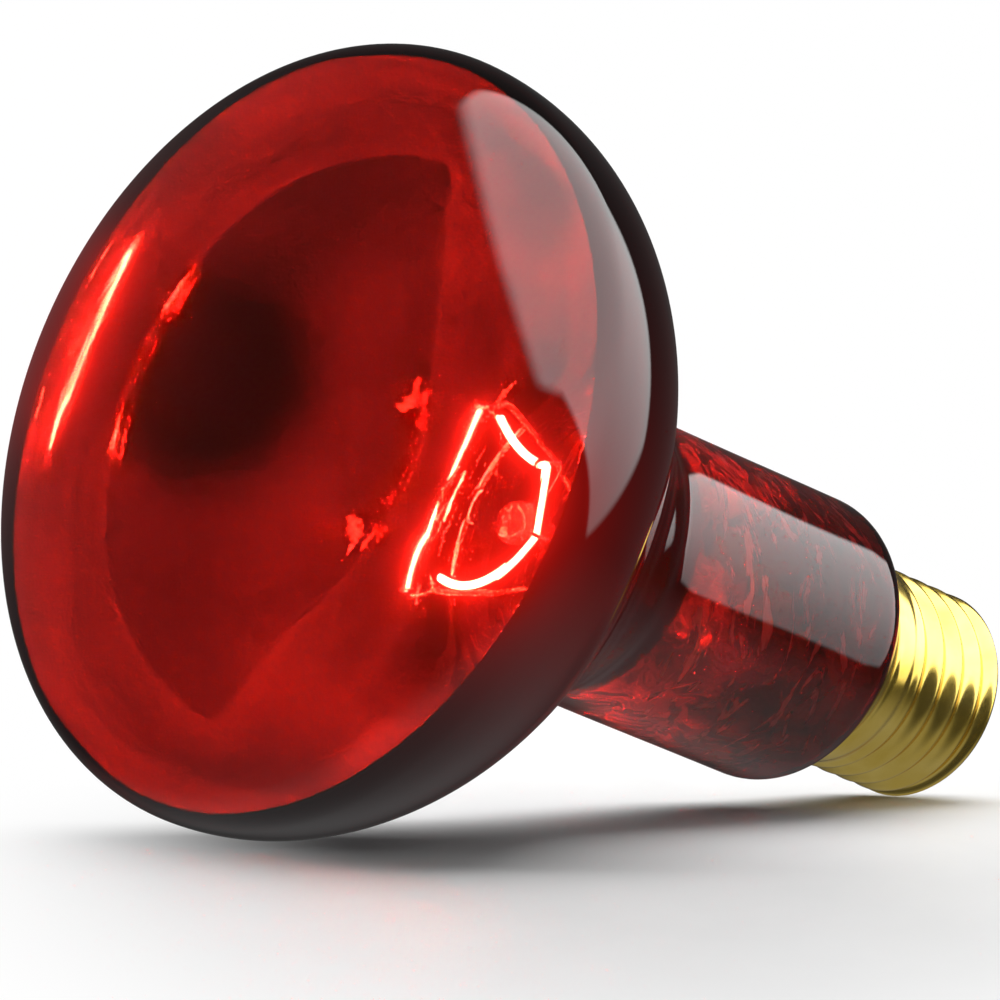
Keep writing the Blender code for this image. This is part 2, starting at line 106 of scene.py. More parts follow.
EXHAUST_Z = (-15.0, 22.6)
EXHAUST_TIP_T = 2.0                     # glass melted together at its lower tip
ARBOR_R, ARBOR_FOOT_Z = 1.5, 33.3
BUTTON_R, BUTTON_HALF_H, BUTTON_Z = 2.7, 2.16, 52.0
BUTTON_FOOT_DEG = 140.0                 # where the button goes over into the rod

# Wires
LEAD_X = 3.2                            # the two leads leave the press this far from the axis
LEAD_BEND = (4.6, 39.0)                 # and bend out to the filament's ends here: (out, z)
LEAD_POST, SUPPORT_POST = 3.0, 1.8      # upright ends below the filament
INNER_LEAD_R, SEAL_WIRE_R, OUTER_LEAD_R, SUPPORT_R = 0.4, 0.35, 0.22, 0.25
HOOK = 1.6                              # the leads run this far past the filament
CURL_R, CURL_H = 0.9, 1.2               # the loop at a support's end: half width and height
SIDE_LEAD_BENDS = ((LEAD_X, 4.0), (LEAD_X, -8.0), (7.4, -12.2), (11.065, -10.6), (11.065, -3.2))
CENTRE_LEAD_BENDS = ((LEAD_X, 0.0), (LEAD_X, -16.0), (0.0, -20.5))     # (out, z) both

# Filament: corners seen from the front, local x and y, with the sag of each hot run
FILAMENT_Z, FILAMENT_R = 57.0, 0.5
CORNERS = ((-11.6, -1.5), (-5.7, 7.8), (2.8, 8.9), (8.3, -5.4))
SAGS = (1.1, 0.3, 3.0)
COIL_R, COIL_WIRE_R, COIL_PITCH = 0.37, 0.115, 0.36
COIL_STEPS = 14                         # points in a turn of the coil

# Screw cap
CAP_T = 0.36
PITCH = 3.629
CREST_R, ROOT_R = 13.1, 12.15
CAP_TOP_Z = -1.5
COLLAR_R = 13.6                         # flared rim
COLLAR_EDGE = (-2.1, 13.52)             # (z, r), as in the next lines
COLLAR_FOOT = (-4.3, 12.75)             # groove between collar and thread
BAND = (-4.8, 13.05)                    # plain band above the thread
THREAD_TOP_Z, THREAD_END_Z = -6.4, -22.7
RUN_IN, RUN_OUT = 3.2, 0.8              # lengths over which the thread rises at its two ends
FIRST_CREST_Z = -9.455                  # a crest on the side that faces down
CAP_SHOULDER = ((-23.5, 12.6), (-24.15, 11.7))
CAP_END_Z, CAP_END_R, CAP_END_T = -24.6, 10.2, 0.32
CEMENT_Z, CEMENT_SLOT = (-8.8, -2.9), 1.3
CEMENT_ROUGH = 0.05                     # height of its lumps
INSULATOR_Z = (-27.0, -22.4)
INSULATOR_FLANGE = ((-22.4, 11.0), (-23.3, 10.8))
INSULATOR_NECK_R, INSULATOR_NECK_Z = 9.84, (-23.7, -24.9)
INSULATOR_FACE = ((-26.5, 6.2), (-27.0, 5.3))
WIRE_HOLE_R = 1.1
CONTACT_R, CONTACT_T, CONTACT_HOLE_R = 4.8, 0.8, 0.75
SOLDER_R, SOLDER_T = 2.2, 0.7
SOLDER_FACE_R = 1.3                     # flat part of the centre solder
SIDE_SOLDER = (0.4, 1.2, 0.55)          # half sizes: out from the rim, round it, along the axis
SIDE_SOLDER_Z = -2.15
END_FACE_Z = INSULATOR_Z[0] - GAP - CONTACT_T - GAP - SOLDER_T

# Looks
FILAMENT_LIGHT = 3000.0
FILAMENT_MIDDLE = (0.0, 2.0, FILAMENT_Z)
MARK_FADE = 8.0                         # the marks inside the neck fade in and out over this length
HAZE = 0.17                             # share of the mirror that is dull
CLEAR_SPOT = (-12.0, -38.0, 71.0)       # middle of a round spot without haze
GLARE_FROM, GLARE_MOST = 4.0, 60.0      # brightness that starts to bloom, and where it is cut off
GLARE_SHARE, GLARE_SIZE = 0.27, 0.4

# Stage, in the row's frame and metres
CAMERA_AT = (0.7740, 0.7385, 0.0727)
CAMERA_LOOKS = (-0.71726, -0.69604, -0.03251)
CAMERA_LENS_MM = 323.7
FLOOR_HALF = (0.085, 0.36)              # half width and half length of the oval patch of floor
FLOOR_AZ = 44.0                         # degrees, the way its length runs
FLOOR_AT = (0.002, 0.010)
FLOOR_DROP = 0.0002                     # below the lamp
FLOOR_FADE = 0.35                       # share of its size where it starts to fade out
PANEL_AT = (-0.44, -0.40, 0.74)         # the middle of the soft light over and behind the lamp
PANEL_SIZE = (0.9, 0.9)
PANEL_WATTS = 16.0
TENT_R = 3.0                            # radius of the domed diffuser round the lamp
TENT_SIDES = ((-0.614, 0.712, 0.341), (0.217, 0.905, 0.365),
              (0.075, 0.510, 0.857), (-0.563, -0.083, 0.822))          # its straight edges face these ways
TENT_SOFT = 0.05                        # width of its dim edges, as a share of the radius
TENT_LIGHT = 3.5
TENT_LOW_SHARE = 0.45                   # its light at the lower edge
ROOM_LIGHT, TABLE_LIGHT = 0.06, 0.33    # beside the tent, and below the lamp
WORLD_GREY = 0.07


def lamp_matrix():
    """The lamp's frame in the row, from the mount on the centre contact."""
    mount = frame["record"]["mounts"][0]
    axis = -Vector(mount["axis"])
    origin = Vector(mount["pos_m"]) - axis * END_FACE_Z * MM
    down = Vector((axis.z, 0.0, -axis.x))
    turn = Matrix((down, Vector((0.0, 1.0, 0.0)), axis)).transposed().to_4x4()
    return Matrix.Translation(origin) @ turn @ Matrix.Scale(MM, 4)


LAMP = lamp_matrix()


# ---------------------------------------------------------------- materials

def new_material(name):
    mat = bpy.data.materials.new(name)
    mat.use_nodes = True
    return mat, mat.node_tree.nodes, mat.node_tree.links, mat.node_tree.nodes["Principled BSDF"]


def noise(nodes, links, scale, detail=3.0, stretch=(1.0, 1.0, 1.0), distortion=0.0, roughness=0.5):
    """Noise in object space; scale is per metre."""
    coord = nodes.new("ShaderNodeTexCoord")
    mapping = nodes.new("ShaderNodeMapping")
    mapping.inputs["Scale"].default_value = stretch
    tex = nodes.new("ShaderNodeTexNoise")
    tex.inputs["Scale"].default_value = scale
    tex.inputs["Detail"].default_value = detail
    tex.inputs["Roughness"].default_value = roughness
    tex.inputs["Distortion"].default_value = distortion
    links.new(coord.outputs["Object"], mapping.inputs["Vector"])
    links.new(mapping.outputs["Vector"], tex.inputs["Vector"])
    return tex.outputs["Fac"]


def ramp(nodes, links, fac, stops):
    """A colour ramp from (position, colour) stops."""
    node = nodes.new("ShaderNodeValToRGB")
    while len(node.color_ramp.elements) < len(stops):
        node.color_ramp.elements.new(0.5)
    for slot, (at, colour) in zip(node.color_ramp.elements, stops):
        slot.position = at
        slot.color = (*colour, 1.0)
    links.new(fac, node.inputs["Fac"])
    return node.outputs["Color"]


def spread(nodes, links, fac, low, high, start=0.3, end=0.7):
    """fac between start and end, turned into a number between low and high."""
    node = nodes.new("ShaderNodeMapRange")
    node.inputs["From Min"].default_value = start
    node.inputs["From Max"].default_value = end
    node.inputs["To Min"].default_value = low
    node.inputs["To Max"].default_value = high
    links.new(fac, node.inputs["Value"])
    return node.outputs["Result"]


def product(nodes, links, *factors):
    """The factors multiplied together."""
    made = factors[0]
    for factor in factors[1:]:
        node = nodes.new("ShaderNodeMath")
        node.operation = 'MULTIPLY'
        links.new(made, node.inputs[0])
        links.new(factor, node.inputs[1])
        made = node.outputs["Value"]
    return made


def away(nodes, links, place, near, far):
    """0 nearer than near millimetres to a place in the lamp's frame, 1 beyond far, and smooth between."""
    coord = nodes.new("ShaderNodeTexCoord")
    gap = nodes.new("ShaderNodeVectorMath")
    gap.operation = 'DISTANCE'
    gap.inputs[1].default_value = LAMP @ Vector(place)
    links.new(coord.outputs["Object"], gap.inputs[0])
    node = nodes.new("ShaderNodeMapRange")
    node.interpolation_type = 'SMOOTHSTEP'
    node.inputs["From Min"].default_value = near * MM
    node.inputs["From Max"].default_value = far * MM
    links.new(gap.outputs["Value"], node.inputs["Value"])
    return node.outputs["Result"]


def mixed(nodes, links, factor, low, high):
    """The shader low where factor is 0 and high where it is 1."""
    node = nodes.new("ShaderNodeMixShader")
    links.new(factor, node.inputs[0])
    links.new(low, node.inputs[1])
    links.new(high, node.inputs[2])
    return node.outputs["Shader"]


def bump(nodes, links, height, strength, distance, normal=None):
    """A bumped normal, on top of another one if given; distance is in metres."""
    node = nodes.new("ShaderNodeBump")
    node.inputs["Strength"].default_value = strength
    node.inputs["Distance"].default_value = distance
    links.new(height, node.inputs["Height"])
    if normal:
        links.new(normal, node.inputs["Normal"])
    return node.outputs["Normal"]


def ruby_glass():
    mat, nodes, links, shader = new_material("ruby_glass")
    swirl = noise(nodes, links, 26.0, 2.0, distortion=1.4)
    ruby = ramp(nodes, links, swirl, [(0.3, (0.105, 0.0022, 0.0024)), (0.7, (0.135, 0.0034, 0.0036))])
    inner = nodes.new("ShaderNodeAttribute")
    inner.attribute_name = "inner_wall"
    # the glass is drawn thinner in the neck, so its red is lighter
    thin = nodes.new("ShaderNodeMix")
    thin.data_type = 'RGBA'
    thin.inputs["B"].default_value = (0.42, 0.005, 0.0055, 1.0)
    links.new(inner.outputs["Fac"], thin.inputs["Factor"])
    links.new(ruby, thin.inputs["A"])
    # stray aluminium from the mirror, in thin patches on the inside of the neck
    patches = noise(nodes, links, 100.0, 3.0, (1.7, 0.7, 0.7), 3.0)
    stray = product(nodes, links, spread(nodes, links, patches, 0.0, 1.0, 0.51, 0.62), inner.outputs["Fac"])
    tint = nodes.new("ShaderNodeMix")
    tint.data_type = 'RGBA'
    tint.inputs["B"].default_value = (0.85, 0.84, 0.83, 1.0)
    links.new(spread(nodes, links, stray, 0.0, 1.0, 0.6, 1.0), tint.inputs["Factor"])
    links.new(thin.outputs["Result"], tint.inputs["A"])
    links.new(tint.outputs["Result"], shader.inputs["Base Color"])
    links.new(spread(nodes, links, stray, 0.0, 0.65, 0.0, 0.8), shader.inputs["Metallic"])
    links.new(spread(nodes, links, stray, 0.004, 0.45, 0.0, 1.0), shader.inputs["Roughness"])
    # and a thin grey film between them
    smoke = spread(nodes, links, noise(nodes, links, 40.0, distortion=1.5), 0.4, 0.9)
    links.new(product(nodes, links, smoke, inner.outputs["Fac"]), shader.inputs["Sheen Weight"])
    shader.inputs["Sheen Roughness"].default_value = 0.6
    shader.inputs["Transmission Weight"].default_value = 1.0
    shader.inputs["IOR"].default_value = 1.5
    waves = bump(nodes, links, noise(nodes, links, 45.0, 1.0), 0.12, 0.0004)
    pulled = product(nodes, links, noise(nodes, links, 150.0, 2.0, distortion=1.0), inner.outputs["Fac"])
    links.new(bump(nodes, links, pulled, 0.8, 0.001, waves), shader.inputs["Normal"])
    return mat


def aluminium_mirror():
    mat, nodes, links, shader = new_material("aluminium_mirror")
    cloud = noise(nodes, links, 60.0, 4.0, distortion=0.8)
    links.new(ramp(nodes, links, cloud, [(0.3, (0.80, 0.78, 0.76)), (0.7, (0.92, 0.91, 0.90))]),
              shader.inputs["Base Color"])
    links.new(spread(nodes, links, cloud, 0.03, 0.09), shader.inputs["Roughness"])
    # the layer is bright behind the filament and in one round spot, and hazy elsewhere
    swirls = spread(nodes, links, noise(nodes, links, 28.0, distortion=2.0), 0.6, 1.3)
    haze = product(nodes, links, away(nodes, links, FILAMENT_MIDDLE, 22.0, 34.0),
                   away(nodes, links, CLEAR_SPOT, 8.0, 20.0), swirls)
    links.new(spread(nodes, links, haze, 1.0, 1.0 - HAZE, 0.0, 1.0), shader.inputs["Metallic"])
    ripple = noise(nodes, links, 32.0, 2.0, distortion=1.2)
    links.new(bump(nodes, links, ripple, 0.15, 0.0006), shader.inputs["Normal"])
    return mat


def clear_glass():
    mat, nodes, links, shader = new_material("clear_glass")
    seeds = noise(nodes, links, 400.0, 2.0)
    links.new(ramp(nodes, links, seeds, [(0.3, (0.88, 0.93, 0.90)), (0.7, (0.95, 0.97, 0.95))]),
              shader.inputs["Base Color"])
    links.new(spread(nodes, links, seeds, 0.0, 0.03), shader.inputs["Roughness"])
    shader.inputs["Transmission Weight"].default_value = 0.88
    shader.inputs["IOR"].default_value = 1.56
    pull = noise(nodes, links, 160.0, 1.0)
    links.new(bump(nodes, links, pull, 0.6, 0.0008), shader.inputs["Normal"])
    return mat


def metal(name, dark, light, rough, scale, depth=0.00003):
    """A drawn, rolled, pressed or cast metal with cloudy colour, uneven gloss and fine marks."""
    mat, nodes, links, shader = new_material(name)
    cloud = noise(nodes, links, scale * 0.3, 4.0, distortion=0.5)
    links.new(ramp(nodes, links, cloud, [(0.3, dark), (0.7, light)]), shader.inputs["Base Color"])
    marks = noise(nodes, links, scale, 5.0)
    links.new(spread(nodes, links, marks, rough[0], rough[1]), shader.inputs["Roughness"])
    shader.inputs["Metallic"].default_value = 1.0
    links.new(bump(nodes, links, marks, 0.35, depth), shader.inputs["Normal"])
    return mat


def tungsten():
    mat = metal("glowing_tungsten", (0.75, 0.42, 0.26), (0.95, 0.62, 0.4), (0.35, 0.6), 1500.0)
    shader = mat.node_tree.nodes["Principled BSDF"]
    shader.inputs["Emission Color"].default_value = (1.0, 0.56, 0.27, 1.0)
    shader.inputs["Emission Strength"].default_value = FILAMENT_LIGHT
    return mat


def stone(name, dark, light, rough, scale, depth):
    """A cast or fired material: speckled, with a grainy surface."""
    mat, nodes, links, shader = new_material(name)
    grain = noise(nodes, links, scale, 6.0, roughness=0.65)
    links.new(ramp(nodes, links, grain, [(0.3, dark), (0.7, light)]), shader.inputs["Base Color"])
    links.new(spread(nodes, links, grain, rough[0], rough[1]), shader.inputs["Roughness"])
    links.new(bump(nodes, links, grain, 0.5, depth), shader.inputs["Normal"])
    return mat


RUBY = ruby_glass()
MIRROR = aluminium_mirror()
CLEAR = clear_glass()
NICKEL = metal("nickel_wire", (0.5, 0.48, 0.44), (0.72, 0.7, 0.66), (0.2, 0.38), 900.0)
COPPER = metal("copper_wire", (0.62, 0.27, 0.14), (0.82, 0.45, 0.28), (0.2, 0.4), 900.0)
MOLYBDENUM = metal("molybdenum_wire", (0.36, 0.36, 0.38), (0.6, 0.6, 0.62), (0.25, 0.45), 900.0)
TUNGSTEN = tungsten()
BRASS = metal("cap_brass", (0.74, 0.52, 0.09), (0.87, 0.66, 0.18), (0.15, 0.25), 420.0, 0.00002)
BLACK = stone("black_glass", (0.006, 0.006, 0.008), (0.03, 0.03, 0.034), (0.05, 0.22), 260.0, 0.00004)
CEMENT = stone("cement", (0.34, 0.27, 0.19), (0.62, 0.54, 0.42), (0.8, 0.98), 900.0, 0.0002)
SOLDER = metal("solder", (0.52, 0.52, 0.53), (0.8, 0.8, 0.8), (0.18, 0.42), 700.0, 0.0001)


# ---------------------------------------------------------------- shapes

def finish_piece(obj, mat, nodes):
    """Give a piece its material and its place on the body, and hide the CAD nodes that it stands for."""
    obj.data.materials.clear()
    obj.data.materials.append(mat)
    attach(obj, "root")
    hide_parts(*nodes)
    return obj


def mesh_piece(name, bm, mat, nodes, sharp_deg=40.0):
    bmesh.ops.recalc_face_normals(bm, faces=bm.faces)
    mesh = bpy.data.meshes.new(name)
    bm.to_mesh(mesh)
    bm.free()
    mesh.transform(LAMP)
    mesh.shade_smooth()
    mesh.set_sharp_from_angle(angle=math.radians(sharp_deg))
    obj = bpy.data.objects.new(name, mesh)
    bpy.context.scene.collection.objects.link(obj)
    return finish_piece(obj, mat, nodes)


def turned(profile, steps, wobble=None):
    """A bmesh of a profile of (z, r) turned about the axis; an end at r = 0 closes to a point."""
    bm = bmesh.new()
    closed_ring = profile[0][1] > 0.0
    rings = []
    for z, r in profile:
        if r <= 1e-6:
            rings.append([bm.verts.new((0.0, 0.0, z))])
            continue
        ring = []
        for k in range(steps):
            phi = 2.0 * math.pi * k / steps
            size = r + (wobble(z, r, phi) if wobble else 0.0)
            ring.append(bm.verts.new((size * math.cos(phi), size * math.sin(phi), z)))
        rings.append(ring)
    pairs = list(zip(rings, rings[1:]))
    if closed_ring:
        pairs.append((rings[-1], rings[0]))
    for a, b in pairs:
        for k in range(steps):
            m = (k + 1) % steps
            if len(a) == 1:
                bm.faces.new((a[0], b[k], b[m]))
            elif len(b) == 1:
                bm.faces.new((a[k], b[0], a[m]))
            else:
                bm.faces.new((a[k], b[k], b[m], a[m]))
    return bm


def wire_piece(name, points, radius, mat, nodes, sides=12):
    """A round wire through points, as a swept mesh with rounded ends."""
    bm = bmesh.new()
    path = [Vector(p) for p in points]
    tangents = [(path[min(i + 1, len(path) - 1)] - path[max(i - 1, 0)]).normalized()
                for i in range(len(path))]
    side = tangents[0].orthogonal().normalized()
    rings = []
    stations = [(path[0] - tangents[0] * radius * 0.35, tangents[0], radius * 0.55)]
    stations += [(p, t, radius) for p, t in zip(path, tangents)]
    stations.append((path[-1] + tangents[-1] * radius * 0.35, tangents[-1], radius * 0.55))
    for p, t, r in stations:
        side = (side - t * side.dot(t)).normalized()
        up = t.cross(side)
        rings.append([bm.verts.new(p + side * r * math.cos(2 * math.pi * k / sides)
                                   + up * r * math.sin(2 * math.pi * k / sides))
                      for k in range(sides)])
    for a, b in zip(rings, rings[1:]):
        for k in range(sides):
            m = (k + 1) % sides
            bm.faces.new((a[k], b[k], b[m], a[m]))
    bm.faces.new(rings[0][::-1])
    bm.faces.new(rings[-1])
    return mesh_piece(name, bm, mat, nodes)


def arc(centre, radii, start_deg, end_deg, count):
    """Points (z, r) on an ellipse; 0 degrees looks to the front, 90 degrees away from the axis."""
    angles = np.radians(np.linspace(start_deg, end_deg, count))
    return [(centre[0] + radii[0] * math.cos(t), centre[1] + radii[1] * math.sin(t)) for t in angles]


def bezier(p0, p1, p2, p3, count):
    """Points on a cubic Bezier curve."""
    t = np.linspace(0.0, 1.0, count)[:, None]
    p0, p1, p2, p3 = (np.array(p, float) for p in (p0, p1, p2, p3))
    points = (1 - t) ** 3 * p0 + 3 * (1 - t) ** 2 * t * p1 + 3 * (1 - t) * t ** 2 * p2 + t ** 3 * p3
    return [tuple(float(v) for v in p) for p in points]


def rounded(points, radius, count=6):
    """The same outline with each inner corner rounded by about radius."""
    made = [points[0]]
    for before, corner, after in zip(points, points[1:], points[2:]):
        a, c, b = (np.array(p, float) for p in (before, corner, after))
        la, lb = np.linalg.norm(a - c), np.linalg.norm(b - c)
        cut = min(radius, la * 0.45, lb * 0.45)
        start, end = c + (a - c) / la * cut, c + (b - c) / lb * cut
        for t in np.linspace(0.0, 1.0, count):
            made.append(tuple((1 - t) ** 2 * start + 2 * t * (1 - t) * c + t ** 2 * end))
    made.append(points[-1])
    return made


def bulb_outline():
    """The outside of the glass as (z, r), from the middle of the front face to the end of the neck."""
    drop = math.sqrt((FRONT_R - RIM_R) ** 2 - (BOWL_R - RIM_R) ** 2)
    front_centre = BOWL_Z - drop
    hand_over = math.degrees(math.atan2(BOWL_R - RIM_R, drop))
    back_centre = (BOWL_Z, BOWL_R - BACK_DEPTH)
    end = math.radians(BACK_END_DEG)
    leave = (back_centre[0] + BACK_LEN * math.cos(end), back_centre[1] + BACK_DEPTH * math.sin(end))
    slope = (BACK_DEPTH * math.cos(end)) / (-BACK_LEN * math.sin(end))
    meet = leave[0] - (leave[1] - NECK_R) / slope
    outline = [(front_centre + FRONT_R, 0.0)]
    outline += arc((front_centre, 0.0), (FRONT_R, FRONT_R), 0.0, hand_over, 30)[1:]
    outline += arc((BOWL_Z, BOWL_R - RIM_R), (RIM_R, RIM_R), hand_over, 90.0, 18)[1:]
    outline += arc(back_centre, (BACK_LEN, BACK_DEPTH), 90.0, BACK_END_DEG, 30)[1:]
    outline += bezier(leave,
                      (leave[0] + THROAT_PULL * (meet - leave[0]),
                       leave[1] + THROAT_PULL * (NECK_R - leave[1])),
                      (THROAT_Z + THROAT_PULL * (meet - THROAT_Z), NECK_R),
                      (THROAT_Z, NECK_R), 20)[1:]
    outline += [(z, NECK_R) for z in np.linspace(THROAT_Z, NECK_END_Z + SHOULDER_R, 16)[1:-1]]
    outline += arc((NECK_END_Z + SHOULDER_R, NECK_R - SHOULDER_R), (SHOULDER_R, SHOULDER_R),
                   90.0, 180.0, 14)
    tail = rounded([(NECK_END_Z, NECK_R - SHOULDER_R), *NARROWING, (SEAL_Z, SEAL_R)], 0.8, 5)
    return outline + tail[1:]


def inset(outline, distance):
    """The same outline moved towards the axis and the inside by distance."""
    points = np.array(outline)
    runs = np.diff(points, axis=0)
    runs /= np.linalg.norm(runs, axis=1)[:, None]
    normals = np.stack([runs[:, 1], -runs[:, 0]], axis=1)
    moved = []
    for i, point in enumerate(points):
        mean = normals[max(i - 1, 0)] + normals[min(i, len(normals) - 1)]
        mean /= np.linalg.norm(mean)
        moved.append(point - mean * distance)
    moved = np.array(moved)
    if points[0][1] == 0.0:
        moved[0] = (points[0][0] - distance, 0.0)
    return [tuple(float(v) for v in p) for p in moved]


def blown(z, r, phi):
    """Slight unevenness of blown glass, in millimetres of radius."""
    return 0.03 * math.sin(3.0 * phi + z / 11.0) + 0.02 * math.sin(5.0 * phi - z / 7.0 + 1.3)


OUTLINE = bulb_outline()


def build_glass():
    """The ruby bulb, one wall all round and open at the end of its neck."""
    inner = inset(OUTLINE, GLASS_T)
    inner[-1] = (SEAL_Z, SEAL_R - GLASS_T)
    bm = turned(OUTLINE + inner[::-1], GLASS_STEPS, blown)
    bulb = mesh_piece("ruby_bulb", bm, RUBY, ["glass_envelope"], 60.0)
    # marks the inside of the neck, where drawing the glass has left it wavy; in the mesh, the outline's
    # first point is one vertex and each later one a ring, and the inner wall follows
    to_lamp = LAMP.inverted()
    marks = bulb.data.attributes.new("inner_wall", 'FLOAT', 'POINT')
    first_inside = 1 + (len(OUTLINE) - 1) * GLASS_STEPS
    for i in range(first_inside, len(bulb.data.vertices)):
        z = (to_lamp @ bulb.data.vertices[i].co).z
        marks.data[i].value = max(min((THROAT_Z - z) / MARK_FADE, (z - NECK_END_Z) / MARK_FADE, 1.0), 0.0)


def build_mirror():
    """The aluminium layer, a gap inside the glass, from behind the front's rim to the throat."""
    side = [p for p in inset(OUTLINE, GLASS_T + GAP)
            if COAT_BACK_Z < p[0] < COAT_FRONT_Z and p[1] > NECK_R * 0.9]
    side = side[:max(i for i, p in enumerate(side) if p[0] > COAT_BACK_Z) + 1]
    inner = inset(side, COAT_T)
    bm = turned(side + inner[::-1], GLASS_STEPS, blown)
    mesh_piece("mirror_layer", bm, MIRROR, ["reflector_coating"], 60.0)


def superellipse(a, b, power, count):
    """Points on an oval with half widths a and b; a higher power makes it squarer."""
    points = []
    for k in range(count):
        t = 2.0 * math.pi * k / count
        c, s = math.cos(t), math.sin(t)
        points.append((a * math.copysign(abs(c) ** (2.0 / power), c),
                       b * math.copysign(abs(s) ** (2.0 / power), s)))
    return points


def stem_sections():
    """(z, half width, half thickness, squareness) up the outside, and then up the bore's wall."""
    low, high = PRESS_Z
    bore = STEM_R - STEM_T
    foot = FLARE_Z - FLARE_RIM_T
    outside = [(foot, FLARE_R, FLARE_R, ROUND), (FLARE_Z, FLARE_R, FLARE_R, ROUND)]
    for t in np.linspace(0.0, 1.0, 14):
        r = STEM_R + (FLARE_LIP_R - STEM_R) * (1.0 - t) ** FLARE_POWER
        outside.append((FLARE_Z + FLARE_EDGE + t * (FLARE_TOP_Z - FLARE_Z), r, r, ROUND))
    outside.append((low - PRESS_START, STEM_R, STEM_R, ROUND))
    for t in np.linspace(0.0, 1.0, 10)[1:]:
        ease = t * t * (3.0 - 2.0 * t)
        outside.append((low - PRESS_START + t * PRESS_EASE, STEM_R + (PRESS_W / 2 - STEM_R) * ease,
                        STEM_R + (PRESS_T / 2 - STEM_R) * ease, ROUND + (SQUARE - ROUND) * ease))
    for drop, cut, power in PRESS_EDGE:
        outside.append((high - drop, PRESS_W / 2 - cut, PRESS_T / 2 - cut, power))
    inside = []
    for t in np.linspace(0.0, 1.0, 14):
        r = bore + (FLARE_BORE_R - bore) * (1.0 - t) ** FLARE_POWER
        inside.append((foot + t * (FLARE_TOP_Z - FLARE_Z), r, r, ROUND))
    for t in np.linspace(1.0, 0.05, 8):
        inside.append((low - STEM_ROOF_DROP - STEM_ROOF_SAG * (1.0 - t), bore * t ** 0.5, bore * t ** 0.5,
                       ROUND))
    return outside, inside


def build_stem():
    """The flared tube, which goes over into the flat press at its top in one surface."""
    count = 64
    bm = bmesh.new()

    def ring(z, a, b, power):
        return [bm.verts.new((x, y, z)) for x, y in superellipse(a, b, power, count)]

    outside, inside = ([ring(*row) for row in rows] for rows in stem_sections())
    rings = outside[::-1] + inside
    for a, b in zip(rings, rings[1:]):
        for k in range(count):
            m = (k + 1) % count
            bm.faces.new((a[k], b[k], b[m], a[m]))
    bm.faces.new(outside[-1])
    bm.faces.new(inside[-1][::-1])
    mesh_piece("stem_press", bm, CLEAR, ["stem_glass"], 50.0)


def build_exhaust():
    """The pumping tube, open at the top and melted shut at its lower tip."""
    tip, top = EXHAUST_Z
    bore = EXHAUST_R - EXHAUST_T
    bore_tip = tip + EXHAUST_TIP_T
    inside = bezier((top, bore), (tip + 6.0, bore), (tip + 2.4, bore), (bore_tip, 0.0), 14)
    outside = bezier((tip, 0.0), (tip, 1.2), (tip + 1.6, EXHAUST_R), (tip + 4.6, EXHAUST_R), 14)
    profile = inside[::-1] + [(top, bore + 0.1), (top, EXHAUST_R)] + outside[::-1]
    profile[0], profile[-1] = (bore_tip, 0.0), (tip, 0.0)
    bm = turned(profile, 40)
    mesh_piece("pumping_tube", bm, CLEAR, ["exhaust_tube"], 50.0)


def build_arbor():
    """The glass rod on the press, with the button that holds the supports."""
    foot = ARBOR_FOOT_Z
    ball = arc((BUTTON_Z, 0.0), (BUTTON_HALF_H, BUTTON_R), 0.0, BUTTON_FOOT_DEG, 24)[1:]
    neck = bezier(ball[-1], (ball[-1][0] - 1.0, ball[-1][1] - 0.5), (BUTTON_Z - 4.0, ARBOR_R),
                  (BUTTON_Z - 5.4, ARBOR_R), 8)[1:]
    base = [(foot + 0.3, ARBOR_R), (foot, ARBOR_R - 0.3), (foot, 0.0)]
    bm = turned([(BUTTON_Z + BUTTON_HALF_H, 0.0)] + ball + neck + base, 48)
    mesh_piece("arbor_and_button", bm, CLEAR, ["arbor_rod"], 50.0)


def sagged(start, end, sag, count):
    """A hot run between two corners, hanging towards +X."""
    return [(start[0] + (end[0] - start[0]) * k + 4.0 * sag * k * (1.0 - k),
             start[1] + (end[1] - start[1]) * k, FILAMENT_Z) for k in np.linspace(0.0, 1.0, count)]


def filament_path():
    """The three runs, end to end."""
    points = []
    for (start, end), sag in zip(zip(CORNERS[:-1], CORNERS[1:]), SAGS):
        points += sagged(start, end, sag, 24)[(1 if points else 0):]
    return [Vector(p) for p in points]


def build_filament():
    """The coil: a fine wire wound round the sagging line."""
    path = filament_path()
    lengths = [0.0]
    for a, b in zip(path, path[1:]):
        lengths.append(lengths[-1] + (b - a).length)
    points = []
    count = int(lengths[-1] / COIL_PITCH * COIL_STEPS)
    for i in range(count + 1):
        s = lengths[-1] * i / count
        k = max(j for j, v in enumerate(lengths[:-1]) if v <= s)
        share = (s - lengths[k]) / (lengths[k + 1] - lengths[k])
        base = path[k].lerp(path[k + 1], share)
        before = (path[k] - path[max(k - 1, 0)]) if k else (path[1] - path[0])
        after = path[k + 1] - path[k]
        tangent = before.normalized().lerp(after.normalized(), 0.5 + share / 2).normalized()
        side = Vector((0.0, 0.0, 1.0))
        up = tangent.cross(side).normalized()
        angle = 2.0 * math.pi * s / COIL_PITCH
        points.append(base + side * COIL_R * math.cos(angle) + up * COIL_R * math.sin(angle))
    wire_piece("glowing_coil", points, COIL_WIRE_R, TUNGSTEN, ["filament"], 6)


